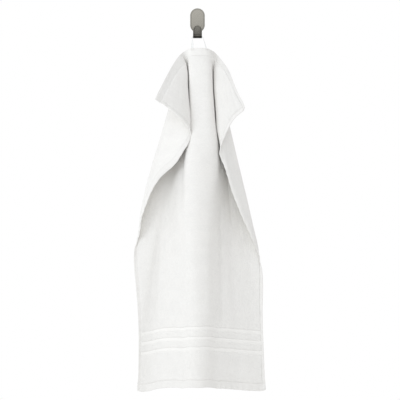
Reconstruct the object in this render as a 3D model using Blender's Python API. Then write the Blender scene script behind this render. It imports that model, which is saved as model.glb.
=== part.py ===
"""Hand towel hanging by its sewn loop from a wall hook.

The towel is one sheet of terry cloth, 50 x 100 cm. It hangs from the middle of a short edge, so both
top corners fall forward and each side makes a Z: main panel, back-facing flap, front-facing wing.
The folds run out from two points on the top hem, one on each side of the loop.
The wall is the plane y = 0. The origin is in the middle of the hook's plate, on the wall. Metres, +Z up.
"""

import math

import bpy
import numpy as np

MM = 0.001

# Towel
WIDTH = 0.500
LENGTH = 1.000
THICK = 0.0030
GRAIN = 0.0025  # spacing of the fine grid on which the folds are worked out
SOFTEN = 0.0048  # the cloth's own stiffness rounds each fold over about this length
LEFT_APEX = -0.045
RIGHT_APEX = 0.045
HEM_BLEND = 0.070  # below the hem its own curve fades out over this length
FOLD_START = (0.007, 0.040)  # folds grow from nothing to full between these distances from an apex

# Top hem. Place along the hem from its middle, sideways, up, away from the wall (mm).
HEM = (
    (-250, -125.5, -242.7, 136),
    (-200, -107.7, -205.5, 108),
    (-150, -89.1, -168.0, 79),
    (-100, -70.5, -134.0, 49),
    (-70, -54.5, -111.0, 30),
    (-45, -37.0, -96.0, 18),
    (-20, -19.8, -88.6, 23),
    (0, 0.0, -87.4, 25),
    (25, 25.2, -87.7, 23),
    (45, 43.3, -94.0, 13),
    (63, 58.0, -107.3, 12),
    (91, 76.2, -129.6, 26),
    (118, 90.9, -151.7, 41),
    (150, 103.3, -181.3, 56),
    (178, 113.1, -207.8, 69),
    (207, 125.5, -234.4, 80),
    (236, 137.6, -258.0, 89),
    (250, 140.2, -269.8, 92),
)

# Folds of one side, as rays from its apex. Place in the flat cloth, turned from straight down towards
# the hem; where the ray points, outwards and forwards from straight down (degrees); length for length.
LEFT_FOLDS = (
    (0.0, 0.2, 3.3, 1.0),  # side of the middle column
    (3.4, 2.5, 2.2, 1.0),
    (6.8, 4.8, 1.0, 1.0),
    (9.5, 6.4, 0.4, 1.0),
    (11.6, 7.8, 0.3, 1.0),  # bottom corner
    (14.0, 9.3, 0.5, 1.0),
    (17.0, 12.0, 0.3, 1.0),
    (19.0, 14.1, 0.0, 1.0),
    (20.4, 15.4, 0.2, 1.0),
    (21.4, 15.9, 1.8, 1.0),  # outer fold, main panel to flap
    (22.8, 15.8, 3.3, 1.0),
    (25.0, 15.0, 5.2, 1.0),
    (28.0, 14.1, 7.4, 1.0),
    (32.0, 11.3, 10.2, 1.0),
    (36.0, 5.7, 13.2, 1.0),
    (41.0, 1.4, 16.3, 1.0),
    (46.0, -3.0, 17.8, 1.0),
    (49.5, -4.3, 18.0, 1.0),
    (52.5, -4.7, 18.6, 1.0),  # inner fold, flap to wing
    (56.0, -3.3, 20.8, 1.0),
    (62.0, 1.2, 25.8, 1.0),
    (70.0, 8.9, 30.0, 1.0),
    (78.0, 18.0, 32.6, 1.0),
    (85.0, 25.8, 34.0, 1.01),
    (90.0, 31.1, 34.5, 1.02),  # top hem
)
RIGHT_FOLDS = (
    (0.0, 0.6, 3.2, 1.0),
    (2.8, 2.4, 2.7, 1.0),
    (5.8, 4.4, 1.9, 1.0),
    (8.7, 6.5, 1.2, 1.0),  # hollow
    (11.6, 8.75, 0.5, 1.0),  # bottom corner
    (15.0, 10.8, 0.2, 1.0),
    (17.0, 12.3, 0.1, 1.0),
    (18.3, 12.8, 0.1, 1.0),
    (19.3, 13.1, 1.3, 1.0),  # outer fold
    (20.6, 12.6, 3.4, 1.0),
    (22.8, 11.3, 5.4, 1.0),
    (25.0, 10.1, 7.0, 1.0),
    (27.5, 8.8, 8.4, 1.0),
    (30.0, 7.8, 9.6, 1.0),
    (34.5, 5.7, 11.5, 1.0),
    (37.3, 4.1, 12.5, 1.0),
    (39.5, 3.5, 13.5, 1.0),  # inner fold
    (45.0, 5.7, 15.8, 1.0),
    (50.0, 9.1, 17.8, 1.0),
    (55.0, 11.8, 18.9, 1.0),
    (60.0, 14.8, 19.7, 1.0),
    (70.0, 20.1, 20.4, 1.02),
    (80.0, 25.6, 20.6, 1.04),
    (90.0, 28.9, 20.6, 1.04),  # top hem
)

# Near an apex the cloth is only gathered. Its ray 30 degrees round points so far out from the first one
# and so far forwards (degrees), and its ray 60 degrees round this share of the last one's way.
GATHER_OUT, GATHER_FORWARD, GATHER_SHARE = 4, 5, 0.55
# Beside each apex the inner fold is drawn in against the column: by how much, how far down (mm), at
# which ray and how far beside it (degrees).
NECK = {-1: (10, 60, 52, 17), 1: (6, 80, 42, 17)}
# Folds bend on their way. Side, by how much outwards, from and to which distance from the apex (mm), at
# which ray and how far beside it (degrees).
BENDS = (
    (-1, -1.5, 400, 560, 21.6, 2.0),
    (-1, 1.0, 200, 260, 51.0, 8.0),
    (1, 1.7, 225, 300, 38.0, 7.0),
)
# Middle column between the apexes. Place along the hem (mm), where it points, right and forwards (deg).
MIDDLE = ((-45, -0.2, 3.3), (0, 0.1, 4.0), (45, 0.6, 3.2))
# Its flute. Distance down the cloth, lean of its left and of its right side to the right, bulge (mm),
# boxiness of its section (share), how far the folds beside it go back, and how far the cloth on both
# sides of it swells with it (mm).
FLUTE = (
    (0, 0, 0, 0, 0.0, 0, 0),
    (30, 7, -1, 9, 0.5, 3, 0),
    (60, 13, -1, 20, 0.9, 5, 0),
    (130, 15, 1, 33, 1.0, 5, 0),
    (220, 14, 8, 41, 1.0, 3, 10),
    (290, 5, 18, 31, 0.9, 1, 32),
    (360, -3, 19, 16, 0.7, 0, 43),
    (450, -6, 12, 7, 0.4, 0, 41),
    (650, -4, 5, 2, 0.0, 0, 22),
    (1000, 0, 2, 0, 0.0, 0, 7),
)
COLUMN_WIDTH = 0.080
BOX = 0.42  # 1 is a round section, less is a boxier one
BOX_SIZE = (33, 28)  # half width and bulge for which the cloth is spread evenly over it (mm)
LEAN_SPAN = 0.070  # the cloth leans with the column's side as far out as this
LEAN_RAYS = (10, 20)  # and less and less between these rays (degrees)
BACK_PLACE = (14, 12)  # middle and half width of what goes back, out from an apex (mm)
BACK_RAYS = (8, 18)
PANEL_SWELL = (-16, 72)  # middle and half width of the panel's swell, across the cloth (mm)
SWELL_RAYS = (9, 19)
# How far the bottom edge is drawn up. Place along the edge, rise (mm).
BOTTOM_RISE = (
    (-250, 11),
    (-238, 6),
    (-210, 4),
    (-150, 8),
    (-90, 9),
    (-45, 6),
    (0, -1),
    (45, 3),
    (120, 2),
    (210, 2),
    (238, 4),
    (250, 8),
)
TIP = 0.022  # size of the top corners' soft tips
TIP_STEPS = 10  # they give way towards the cloth so many grid steps in
TIP_PULL = {-1: 0.05, 1: 0.25}  # by this share of the way there
FLARE = 0.0025  # how far the ends of the bottom hem stand out
FLARE_ACROSS, FLARE_DOWN = (0.20, 0.25), (0.960, 0.988)  # from and to where, across and down
# Spacing of the faceted cloth. From, to, step (mm), across from the middle and then down.
ACROSS = ((0, 30, 10.0), (30, 110, 7.5), (110, 250, 14.0))
DOWN = ((0, 150, 7.5), (150, 350, 15.0), (350, 1000, 40.0))

# Wall hook: one strip of 3 mm sheet steel, a plate at the top and a J below
SHEET = 0.0030
PLATE_HALF = 0.0215
STRAP_HALF = 0.0131
PLATE_TOP = 0.0304
PLATE_LOW = -0.0192  # middle of the plate's round lower end
PLATE_BOTTOM = -0.0399
BLEND = 12  # how tightly the plate's outline runs into the strap's
TROUGH = 0.0110  # inner radius of the J
HOOK_BOTTOM = -0.0585
TONGUE_TOP = -0.0222
TONGUE_LEAN = 9.0  # degrees
TIP_HALF = 0.0110
EDGE = 0.0006

# Points across the hook's strip and across the tape
ACROSS_STRIP = 5

# Hanging loop: woven tape
TAPE_HALF = 0.0040
TAPE = 0.0010
LOOP_STATIONS = 91
CUP_FADES = (0.0080, 0.0125)  # in the trough it is cupped as the steel is, fading this far from the middle
CUP_LOW = -0.0560  # only above this height
# Centre line. Sideways, up, away from the wall (mm), turn of its width from front-to-back (degrees).
LOOP = (
    (-15.6, -87.3, 23.6, 74),
    (-15.3, -80.0, 21.5, 60),
    (-15.2, -70.0, 17.5, 24),
    (-15.6, -62.0, 15.0, 4),
    (-15.9, -57.2, 14.0, 0),
    (-14.4, -54.3, 14.0, 0),
    (-11.4, -53.6, 14.0, 0),
    (0.0, -53.6, 14.0, 0),
    (11.4, -53.6, 14.0, 0),
    (14.6, -54.4, 14.0, 0),
    (16.4, -57.4, 14.2, 0),
    (18.0, -62.0, 15.2, -2),
    (20.6, -70.0, 18.0, -8),
    (23.4, -80.0, 21.2, -18),
    (25.2, -87.1, 23.0, -24),
)

# Linear colours
TERRY_COLOUR = (0.86, 0.86, 0.85)
TAPE_COLOUR = (0.84, 0.84, 0.82)
STEEL_COLOUR = (0.50, 0.48, 0.45)


def through(rows, at):
    """Smooth curve through rows whose first column is the place, read at `at`."""
    rows = np.array(rows, float)
    x, y = rows[:, 0], rows[:, 1:]
    h = np.diff(x)
    slope = np.diff(y, axis=0) / h[:, None]
    tangent = np.concatenate([slope[:1], slope])
    weight = (h[1:] / (h[1:] + h[:-1]))[:, None]
    tangent[1:-1] = slope[:-1] * weight + slope[1:] * (1 - weight)
    k = np.clip(np.searchsorted(x, at, side="right") - 1, 0, len(h) - 1)
    t, span = ((at - x[k]) / h[k])[..., None], h[k][..., None]
    start = (1 + 2 * t) * (1 - t) ** 2 * y[k] + t * (1 - t) ** 2 * span * tangent[k]
    end = t * t * (3 - 2 * t) * y[k + 1] + t * t * (t - 1) * span * tangent[k + 1]
    return start + end


def ease(low, high, x):
    t = np.clip((x - low) / (high - low), 0, 1)
    return t * t * (3 - 2 * t)


def unit(vectors):
    return vectors / np.linalg.norm(vectors, axis=-1, keepdims=True)


def heading(side, forward):
    """Unit direction that far from straight down, to the right and away from the wall (degrees)."""
    side, forward = np.radians(side), np.radians(forward)
    return np.stack(
        [np.sin(side) * np.cos(forward), -np.sin(forward), -np.cos(side) * np.cos(forward)], -1
    )


def hem_at(u):
    side, up, away = np.moveaxis(through(HEM, u / MM) * MM, -1, 0)
    return np.stack([side, -away, up], -1)


def box_section(share):
    """(share of the width, share of the bulge) that far along the column's boxy section."""
    angle = np.linspace(-math.pi / 2, math.pi / 2, 181)
    side = np.sign(angle) * np.abs(np.sin(angle)) ** BOX
    rise = np.abs(np.cos(angle)) ** BOX
    run = np.hypot(np.diff(side) * BOX_SIZE[0], np.diff(rise) * BOX_SIZE[1])
    run = np.concatenate([[0], np.cumsum(run)])
    at = share * run[-1]
    return np.interp(at, run, 0.5 + 0.5 * side), np.interp(at, run, rise)


def bell(x, middle, half_width):
    return np.exp(-(((x - middle) / half_width) ** 2))


def column(u, v):
    """Points of the middle column."""
    place = through(MIDDLE, u / MM)
    lean_left, lean_right, bulge, boxy, _, _ = np.moveaxis(through(FLUTE, v / MM), -1, 0)
    share = (u - LEFT_APEX) / (RIGHT_APEX - LEFT_APEX)
    box_side, box_rise = box_section(share)
    side = share + boxy * (box_side - share)
    # the round section runs out smoothly where it isn't boxy
    rise = np.abs(np.cos(math.pi * (share - 0.5))) ** (2 - boxy)
    rise += boxy * (box_rise - rise)
    wider = (lean_right - lean_left) * MM
    points = hem_at(u) + v[:, None] * heading(place[:, 0], place[:, 1])
    points[:, 0] += lean_left * MM + wider * share + (COLUMN_WIDTH + wider) * (side - share)
    points[:, 1] -= bulge * MM * rise
    return points


def fan(u, v, sign, apex, folds):
    """Points of one side, on rays from its apex."""
    out, down = np.abs(u - apex), v
    reach, turn = np.hypot(out, down), np.degrees(np.arctan2(out, down))
    side, forward, length = np.moveaxis(through(folds, turn), -1, 0)
    for bent, by, near, far, ray, spread in BENDS:
        if bent == sign:
            side += by * ease(near, far, reach / MM) * bell(turn, ray, spread)
    first, last = folds[0], folds[-1]
    gathered = (
        (0, first[1], first[2]),
        (30, first[1] + GATHER_OUT, GATHER_FORWARD),
        (60, last[1] * GATHER_SHARE, last[2] * GATHER_SHARE),
        (90, last[1], last[2]),
    )
    plain = through(gathered, turn)
    plain = heading(sign * plain[:, 0], plain[:, 1])
    grown = ease(*FOLD_START, reach)[:, None]
    direction = unit(plain + (heading(sign * side, forward) - plain) * grown)
    start = hem_at(np.array([apex]))
    points = start + (reach * length)[:, None] * direction
    straight = start + (out * last[3])[:, None] * heading(sign * last[1], last[2])
    points += (hem_at(u) - straight) * np.exp(-((down / HEM_BLEND) ** 2))[:, None]
    lean_left, lean_right, _, _, back, _ = np.moveaxis(through(FLUTE, v / MM) * MM, -1, 0)
    lean = lean_left if sign < 0 else lean_right
    points[:, 0] += lean * (1 - ease(0, LEAN_SPAN, out)) * (1 - ease(*LEAN_RAYS, turn))
    draw, place, ray, spread = NECK[sign]
    near = reach / MM / place
    points[:, 0] -= sign * draw * MM * near**2 * np.exp(1 - near**2) * bell(turn, ray, spread)
    points[:, 1] += back * bell(out / MM, *BACK_PLACE) * (1 - ease(*BACK_RAYS, turn))
    return points


def rounded(points, axis):
    """The grid with its folds rounded, its edges carried straight on."""
    width = SOFTEN / GRAIN
    n = math.ceil(3 * width)
    weight = np.exp(-0.5 * (np.arange(-n, n + 1) / width) ** 2)
    weight /= weight.sum()
    p = np.moveaxis(points, axis, 0)
    p = np.concatenate([2 * p[0] - p[n:0:-1], p, 2 * p[-1] - p[-2 : -n - 2 : -1]])
    count = len(p) - 2 * n
    return np.moveaxis(sum(w * p[i : i + count] for i, w in enumerate(weight)), 0, axis)


def cloth_grid():
    """The cloth's middle surface, rows down the cloth and columns from left to right."""
    u = np.linspace(-WIDTH / 2, WIDTH / 2, round(WIDTH / GRAIN) + 1)
    v = np.linspace(0, LENGTH, round(LENGTH / GRAIN) + 1)
    u, v = np.meshgrid(u, v)
    points = np.empty(u.shape + (3,))
    left, right = u < LEFT_APEX, u > RIGHT_APEX
    middle = ~(left | right)
    points[middle] = column(u[middle], v[middle])
    points[left] = fan(u[left], v[left], -1, LEFT_APEX, LEFT_FOLDS)
    points[right] = fan(u[right], v[right], 1, RIGHT_APEX, RIGHT_FOLDS)
    points[..., 2] += through(BOTTOM_RISE, u / MM)[..., 0] * MM * (v / LENGTH) ** 2
    turn = np.degrees(np.arctan2(np.maximum(np.abs(u) - RIGHT_APEX, 0), v + GRAIN))
    swell = bell(u / MM, *PANEL_SWELL) * (1 - ease(*SWELL_RAYS, turn))
    points[..., 1] -= through(FLUTE, v / MM)[..., 5] * MM * swell
    # the top corners' tips are soft
    tip = np.clip(1 - (WIDTH / 2 - np.abs(u)) / TIP, 0, 1) * np.clip(1 - v / TIP, 0, 1)
    for sign, edge in ((-1, 0), (1, -1)):
        towards = points[TIP_STEPS, edge - sign * TIP_STEPS] - points[0, edge]
        points += np.where(u * sign > 0, TIP_PULL[sign] * tip**2, 0)[..., None] * towards
    # the bottom hem stands out a little at its ends
    points[..., 0] += np.sign(u) * FLARE * ease(*FLARE_ACROSS, np.abs(u)) * ease(*FLARE_DOWN, v)
    return rounded(rounded(points, 1), 0)


def places(bands):
    """Distances that step through the bands, in grid steps."""
    found = [0]
    for _, end, step in bands:
        steps = max(1, round((end * MM / GRAIN - found[-1]) / (step * MM / GRAIN)))
        first = found[-1]
        found += [round(first + (end * MM / GRAIN - first) * (i + 1) / steps) for i in range(steps)]
    return np.array(found)


def plain_material(name, colour, roughness, metallic=0.0):
    material = bpy.data.materials.new(name)
    material.use_nodes = True
    shader = material.node_tree.nodes["Principled BSDF"]
    shader.inputs["Base Color"].default_value = (*colour, 1.0)
    shader.inputs["Roughness"].default_value = roughness
    shader.inputs["Metallic"].default_value = metallic
    material.diffuse_color = (*colour, 1.0)
    return material


def sheet_object(name, grid, thick, offset, material):
    """A closed sheet of even thickness on a grid of points, its rows running down the front."""
    rows, columns = grid.shape[:2]
    at = np.arange(rows * columns).reshape(rows, columns)
    a, b, c, d = at[:-1, :-1], at[1:, :-1], at[1:, 1:], at[:-1, 1:]
    # each square is halved along the line from the top middle, as the folds run
    left = np.arange(columns - 1) < (columns - 1) / 2
    upper = np.where(left, np.stack([a, b, d]), np.stack([a, b, c]))
    lower = np.where(left, np.stack([b, c, d]), np.stack([a, c, d]))
    faces = np.concatenate([upper.reshape(3, -1), lower.reshape(3, -1)], axis=1).T
    mesh = bpy.data.meshes.new(name)
    mesh.from_pydata(grid.reshape(-1, 3).tolist(), [], faces.tolist())
    mesh.materials.append(material)
    mesh.shade_smooth()
    obj = bpy.data.objects.new(name, mesh)
    bpy.context.scene.collection.objects.link(obj)
    solid = obj.modifiers.new("thickness", "SOLIDIFY")
    solid.thickness, solid.offset = thick, offset
    return obj


def build_towel(material):
    grid = cloth_grid()
    half = places(ACROSS)
    middle = (grid.shape[1] - 1) // 2
    columns = np.concatenate([middle - half[:0:-1], middle + half])
    return sheet_object("towel", grid[np.ix_(places(DOWN), columns)], THICK, 0.0, material)


def hook_stations():
    """Stations down the strip's outer face: distance from the wall, height and half width."""
    rows = []
    middle_z = PLATE_TOP - PLATE_HALF
    for angle in np.radians(np.linspace(6, 90, 13)):
        rows.append((0.0, middle_z + PLATE_HALF * math.cos(angle), PLATE_HALF * math.sin(angle)))
    for up in np.linspace(PLATE_LOW, PLATE_BOTTOM, 15):
        plate = math.sqrt(max(PLATE_HALF**2 - (up - PLATE_LOW) ** 2, 0))
        rows.append((0.0, up, (plate**BLEND + STRAP_HALF**BLEND) ** (1 / BLEND)))
    radius = TROUGH + SHEET
    for angle in np.radians(np.linspace(0, 180 - TONGUE_LEAN, 19)):
        away, up = radius - radius * math.cos(angle), HOOK_BOTTOM + radius - radius * math.sin(angle)
        rows.append((away, up, STRAP_HALF))
    lean = math.radians(TONGUE_LEAN)
    straight = (TONGUE_TOP - up) / math.cos(lean) - TIP_HALF
    tip = [
        (t * straight, STRAP_HALF + (TIP_HALF - STRAP_HALF) * t) for t in np.linspace(0.15, 1, 4)
    ]
    for angle in np.radians(np.linspace(8, 84, 10)):
        tip.append((straight + TIP_HALF * math.sin(angle), TIP_HALF * math.cos(angle)))
    rows += [(away + run * math.sin(lean), up + run * math.cos(lean), half) for run, half in tip]
    return rows


def build_hook(material):
    across = np.linspace(-1, 1, ACROSS_STRIP)
    grid = np.array([[(t * half, -away, up) for t in across] for away, up, half in hook_stations()])
    # the outer face runs along the wall, so the steel's thickness is on its other side
    hook = sheet_object("wall_hook", grid, SHEET, 1.0, material)
    bevel = hook.modifiers.new("edge", "BEVEL")
    bevel.width, bevel.segments = EDGE, 2
    bevel.limit_method, bevel.angle_limit = "ANGLE", math.radians(50)
    return hook


def build_loop(material):
    rows = np.array(LOOP, float)
    along = np.concatenate([[0], np.cumsum(np.linalg.norm(np.diff(rows[:, :3], axis=0), axis=1))])
    table = np.column_stack([along, rows])
    place = np.linspace(0, along[-1], LOOP_STATIONS)
    side, up, away, turn = np.moveaxis(through(table, place), -1, 0)
    centre = np.stack([side, -away, up], -1) * MM
    run = unit(np.gradient(centre, axis=0))
    flat = unit(np.cross(run, (0.0, -1.0, 0.0)))
    depth = np.cross(flat, run)
    turn = np.radians(turn)[:, None]
    width = depth * np.cos(turn) + flat * np.sin(turn)
    normal = np.cross(run, width)
    t = np.linspace(-1, 1, ACROSS_STRIP)[None, :, None] * TAPE_HALF
    cup = (1 - ease(*CUP_FADES, np.abs(centre[:, 0]))) * (centre[:, 2] > CUP_LOW)
    rise = np.where(normal[:, 2:] > 0, 1.0, -1.0) * cup[:, None] / (2 * (TROUGH + TAPE))
    grid = centre[:, None] + t * width[:, None] + (t * t) * (rise * normal)[:, None]
    return sheet_object("hanging_loop", grid, TAPE, 0.0, material)


def main():
    for obj in list(bpy.data.objects):
        bpy.data.objects.remove(obj, do_unlink=True)
    build_towel(plain_material("white_terry", TERRY_COLOUR, 0.95))
    build_loop(plain_material("white_tape", TAPE_COLOUR, 0.85))
    build_hook(plain_material("brushed_steel", STEEL_COLOUR, 0.35, 1.0))


main()
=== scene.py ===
"""White terry hand towel hanging by its sewn loop from a satin steel wall hook.

The wall is the plane y = 0 and the viewer stands on the -Y side. Metres, +Z up; tables are in mm and
degrees. The cloth is worked out flat, as distances across it (from the middle) and down it (from the
top hem), and then carried onto its folds.
"""

import math

import bmesh
import bpy
import numpy as np
from bpy.props import FloatProperty, FloatVectorProperty, IntProperty, PointerProperty
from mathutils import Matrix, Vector, noise


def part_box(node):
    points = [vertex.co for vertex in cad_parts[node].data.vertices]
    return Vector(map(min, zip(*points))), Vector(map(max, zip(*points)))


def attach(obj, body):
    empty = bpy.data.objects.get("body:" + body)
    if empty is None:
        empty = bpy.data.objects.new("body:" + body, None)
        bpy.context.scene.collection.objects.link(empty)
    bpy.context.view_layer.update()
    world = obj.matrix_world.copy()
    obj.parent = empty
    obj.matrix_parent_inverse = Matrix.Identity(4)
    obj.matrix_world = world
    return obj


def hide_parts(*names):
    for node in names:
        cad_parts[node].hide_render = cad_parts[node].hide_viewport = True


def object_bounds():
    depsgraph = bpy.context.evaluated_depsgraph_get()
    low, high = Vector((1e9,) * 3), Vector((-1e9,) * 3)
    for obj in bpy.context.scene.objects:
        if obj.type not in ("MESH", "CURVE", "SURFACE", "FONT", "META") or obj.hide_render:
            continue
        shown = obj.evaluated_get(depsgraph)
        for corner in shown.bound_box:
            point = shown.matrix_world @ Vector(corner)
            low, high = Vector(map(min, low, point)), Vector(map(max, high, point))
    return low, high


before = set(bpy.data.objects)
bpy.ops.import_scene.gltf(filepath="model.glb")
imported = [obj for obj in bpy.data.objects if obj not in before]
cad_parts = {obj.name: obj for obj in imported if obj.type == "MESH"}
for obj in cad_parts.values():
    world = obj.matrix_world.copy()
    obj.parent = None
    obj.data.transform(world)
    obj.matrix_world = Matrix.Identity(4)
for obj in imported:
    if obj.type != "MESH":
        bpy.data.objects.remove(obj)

bl_info = {
    "name": "Hanging hand towel",
    "version": (1, 0, 0),
    "blender": (4, 5, 0),
    "location": "View3D > Sidebar > Towel",
    "description": "A terry hand towel on its hanging loop and wall hook",
    "category": "Object",
}

MM = 0.001
CAD_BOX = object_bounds()
HOOK_LOW, HOOK_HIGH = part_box("wall_hook")

# Cloth as cut and hemmed
WIDTH = 0.500
LENGTH = 1.000
GRAIN = 0.0025  # spacing of the fine grid on which the folds are worked out
SOFTEN = 0.0048  # the cloth's own stiffness rounds each fold over about this length
LEFT_APEX = -0.045
RIGHT_APEX = 0.045
HEM_BLEND = 0.070  # below the hem its own curve fades out over this length
FOLD_START = (0.007, 0.040)  # folds grow from nothing to full between these distances from an apex

# Top hem. Place along the hem from its middle, sideways, up, away from the wall (mm).
HEM = (
    (-250, -125.5, -242.7, 136),
    (-200, -107.7, -205.5, 108),
    (-150, -89.1, -168, 79),
    (-100, -70.5, -134, 49),
    (-70, -54.5, -111, 30),
    (-45, -37, -96, 18),
    (-20, -19.8, -88.6, 23),
    (0, 0, -87.4, 25),
    (25, 25.2, -87.7, 23),
    (45, 43.3, -94, 13),
    (63, 58, -107.3, 12),
    (91, 76.2, -129.6, 26),
    (118, 90.9, -151.7, 41),
    (150, 103.3, -181.3, 56),
    (178, 113.1, -207.8, 69),
    (207, 125.5, -234.4, 80),
    (236, 137.6, -258, 89),
    (250, 140.2, -269.8, 92),
)

# Folds of one side, as rays from its apex. Place in the flat cloth, turned from straight down towards
# the hem; where the ray points, outwards and forwards from straight down (degrees); length for length.
LEFT_FOLDS = (
    (0, 0.2, 3.3, 1),  # side of the middle column
    (3.4, 2.5, 2.2, 1),
    (6.8, 4.8, 1, 1),
    (9.5, 6.4, 0.4, 1),
    (11.6, 7.8, 0.3, 1),  # bottom corner
    (14, 9.3, 0.5, 1),
    (17, 12, 0.3, 1),
    (19, 14.1, 0, 1),
    (20.4, 15.4, 0.2, 1),
    (21.4, 15.9, 1.8, 1),  # outer fold, main panel to flap
    (22.8, 15.8, 3.3, 1),
    (25, 15, 5.2, 1),
    (28, 14.1, 7.4, 1),
    (32, 11.3, 10.2, 1),
    (36, 5.7, 13.2, 1),
    (41, 1.4, 16.3, 1),
    (46, -3, 17.8, 1),
    (49.5, -4.3, 18, 1),
    (52.5, -4.7, 18.6, 1),  # inner fold, flap to wing
    (56, -3.3, 20.8, 1),
    (62, 1.2, 25.8, 1),
    (70, 8.9, 30, 1),
    (78, 18, 32.6, 1),
    (85, 25.8, 34, 1.01),
    (90, 31.1, 34.5, 1.02),  # top hem
)
RIGHT_FOLDS = (
    (0, 0.6, 3.2, 1),
    (2.8, 2.4, 2.7, 1),
    (5.8, 4.4, 1.9, 1),
    (8.7, 6.5, 1.2, 1),  # hollow
    (11.6, 8.75, 0.5, 1),  # bottom corner
    (15, 10.8, 0.2, 1),
    (17, 12.3, 0.1, 1),
    (18.3, 12.8, 0.1, 1),
    (19.3, 13.1, 1.3, 1),  # outer fold
    (20.6, 12.6, 3.4, 1),
    (22.8, 11.3, 5.4, 1),
    (25, 10.1, 7, 1),
    (27.5, 8.8, 8.4, 1),
    (30, 7.8, 9.6, 1),
    (34.5, 5.7, 11.5, 1),
    (37.3, 4.1, 12.5, 1),
    (39.5, 3.5, 13.5, 1),  # inner fold
    (45, 5.7, 15.8, 1),
    (50, 9.1, 17.8, 1),
    (55, 11.8, 18.9, 1),
    (60, 14.8, 19.7, 1),
    (70, 20.1, 20.4, 1.02),
    (80, 25.6, 20.6, 1.04),
    (90, 28.9, 20.6, 1.04),  # top hem
)

# Near an apex the cloth is only gathered. Its ray 30 degrees round points so far out from the first one
# and so far forwards (degrees), and its ray 60 degrees round this share of the last one's way.
GATHER_OUT, GATHER_FORWARD, GATHER_SHARE = 4, 5, 0.55
# Beside each apex the inner fold is drawn in against the column: by how much, how far down (mm), at
# which ray and how far beside it (degrees).
NECK = {-1: (10, 60, 52, 17), 1: (6, 80, 42, 17)}
# Folds bend on their way. Side, by how much outwards, from and to which distance from the apex (mm), at
# which ray and how far beside it (degrees).
BENDS = (
    (-1, -1.5, 400, 560, 21.6, 2),
    (-1, 1, 200, 260, 51, 8),
    (1, 1.7, 225, 300, 38, 7),
)
# Middle column between the apexes. Place along the hem (mm), where it points, right and forwards (deg).
MIDDLE = ((-45, -0.2, 3.3), (0, 0.1, 4), (45, 0.6, 3.2))
# Its flute. Distance down the cloth, lean of its left and of its right side to the right, bulge (mm),
# boxiness of its section (share), how far the folds beside it go back, and how far the cloth on both
# sides of it swells with it (mm).
FLUTE = (
    (0, 0, 0, 0, 0, 0, 0),
    (30, 7, -1, 9, 0.5, 3, 0),
    (60, 13, -1, 20, 0.9, 5, 0),
    (130, 15, 1, 33, 1, 5, 0),
    (220, 14, 8, 41, 1, 3, 10),
    (290, 5, 18, 31, 0.9, 1, 32),
    (360, -3, 19, 16, 0.7, 0, 43),
    (450, -6, 12, 7, 0.4, 0, 41),
    (650, -4, 5, 2, 0, 0, 22),
    (1000, 0, 2, 0, 0, 0, 7),
)
COLUMN_WIDTH = 0.080  # between its sides, at the top
BOX = 0.42  # 1 is a round section, less is a boxier one
BOX_SIZE = (33, 28)  # half width and bulge for which the cloth is spread evenly over it (mm)
BOX_STEPS = 181
LEAN_SPAN = 0.070  # the cloth leans with the column's side as far out as this
LEAN_RAYS = (10, 20)  # and less and less between these rays (degrees)
BACK_PLACE = (14, 12)  # middle and half width of what goes back, out from an apex (mm)
BACK_RAYS = (8, 18)  # it fades between these rays
PANEL_SWELL = (-16, 72)  # middle and half width of the panel's swell, across the cloth (mm)
SWELL_RAYS = (9, 19)  # it fades between these rays
# How far the bottom edge is drawn up. Place along the edge, rise (mm).
BOTTOM_RISE = (
    (-250, 11), (-238, 6), (-210, 4), (-150, 8), (-90, 9), (-45, 6),
    (0, -1), (45, 3), (120, 2), (210, 2), (238, 4), (250, 8),
)
TIP = 0.022  # size of the top corners' soft tips
TIP_STEPS = 10  # they give way towards the cloth so many grid steps in
TIP_PULL = {-1: 0.05, 1: 0.25}  # by this share of the way there
FLARE = 0.0025  # how far the ends of the bottom hem stand out
FLARE_ACROSS, FLARE_DOWN = (0.20, 0.25), (0.960, 0.988)  # from and to where, across and down
# Creases pressed or pulled into the cloth. Where each starts and ends, across and down (mm), how far
# it stands forward of the cloth (mm, behind it where negative) and its half width (mm).
CREASES = (
    (-60, 62, -95, 118, 1.6, 9),
    (47, 6, 80, 27, -4.4, 10),
    (98, 330, 122, 500, -2.6, 8),
    (70, 60, 120, 110, 1, 12),
    (-130, 120, -165, 150, -1, 12),
    (18, 500, 30, 780, 1.6, 11),
    (62, 470, 74, 800, -2.2, 13),
    (98, 520, 112, 820, 1.4, 14),
    (-150, 560, -165, 760, -1.2, 12),
    (-60, 820, -20, 900, 0.8, 22),
    (120, 880, 190, 930, 0.8, 20),
)
# How far the side hems curl towards the front of the cloth. Place down the cloth, curl (mm).
CURL = ((0, 0), (120, 1), (200, 4), (300, 6), (480, 6), (620, 3.5), (800, 1.5), (1000, 1))
CURL_WIDTH = 0.014
SWELL = 0.0013  # height of the cloth's slow unevenness
SWELL_LENGTH, SWELL_TURN = 0.160, 6  # size of its swells, down the cloth and round an apex (degrees)
SWELL_GROWTH = (0.010, 0.100)  # they grow to full height between these distances from the loop
PUCKER = 0.0006  # height of the ripples that the hem stitching draws up
PUCKER_PITCH = 0.026
PUCKER_REACH = 0.014  # how far in from the edge they fade
PUCKER_DRIFT = (3.0, 0.070)  # how far they wander along it (radians), and over what length

# Mesh lines that carry the cloth's cross section (mm): from an edge in, from a seam both ways, and from
# a rib's middle both ways
EDGE_LINES = (0, 0.25, 0.7, 1.5, 2.8, 4.8)
SEAM_LINES = (-3.6, -1.4, -0.6, 0, 0.6, 1.5, 2.8)
RIB_LINES = (-6.6, -5.6, -5, -4.4, -2.6, 0, 2.6, 4.4, 5, 5.6, 6.6)
LEAST_GAP = 0.00015  # lines closer than this are one
BACK_APART = 0.050  # gap in the material's map between the cloth's front and its back

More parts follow.
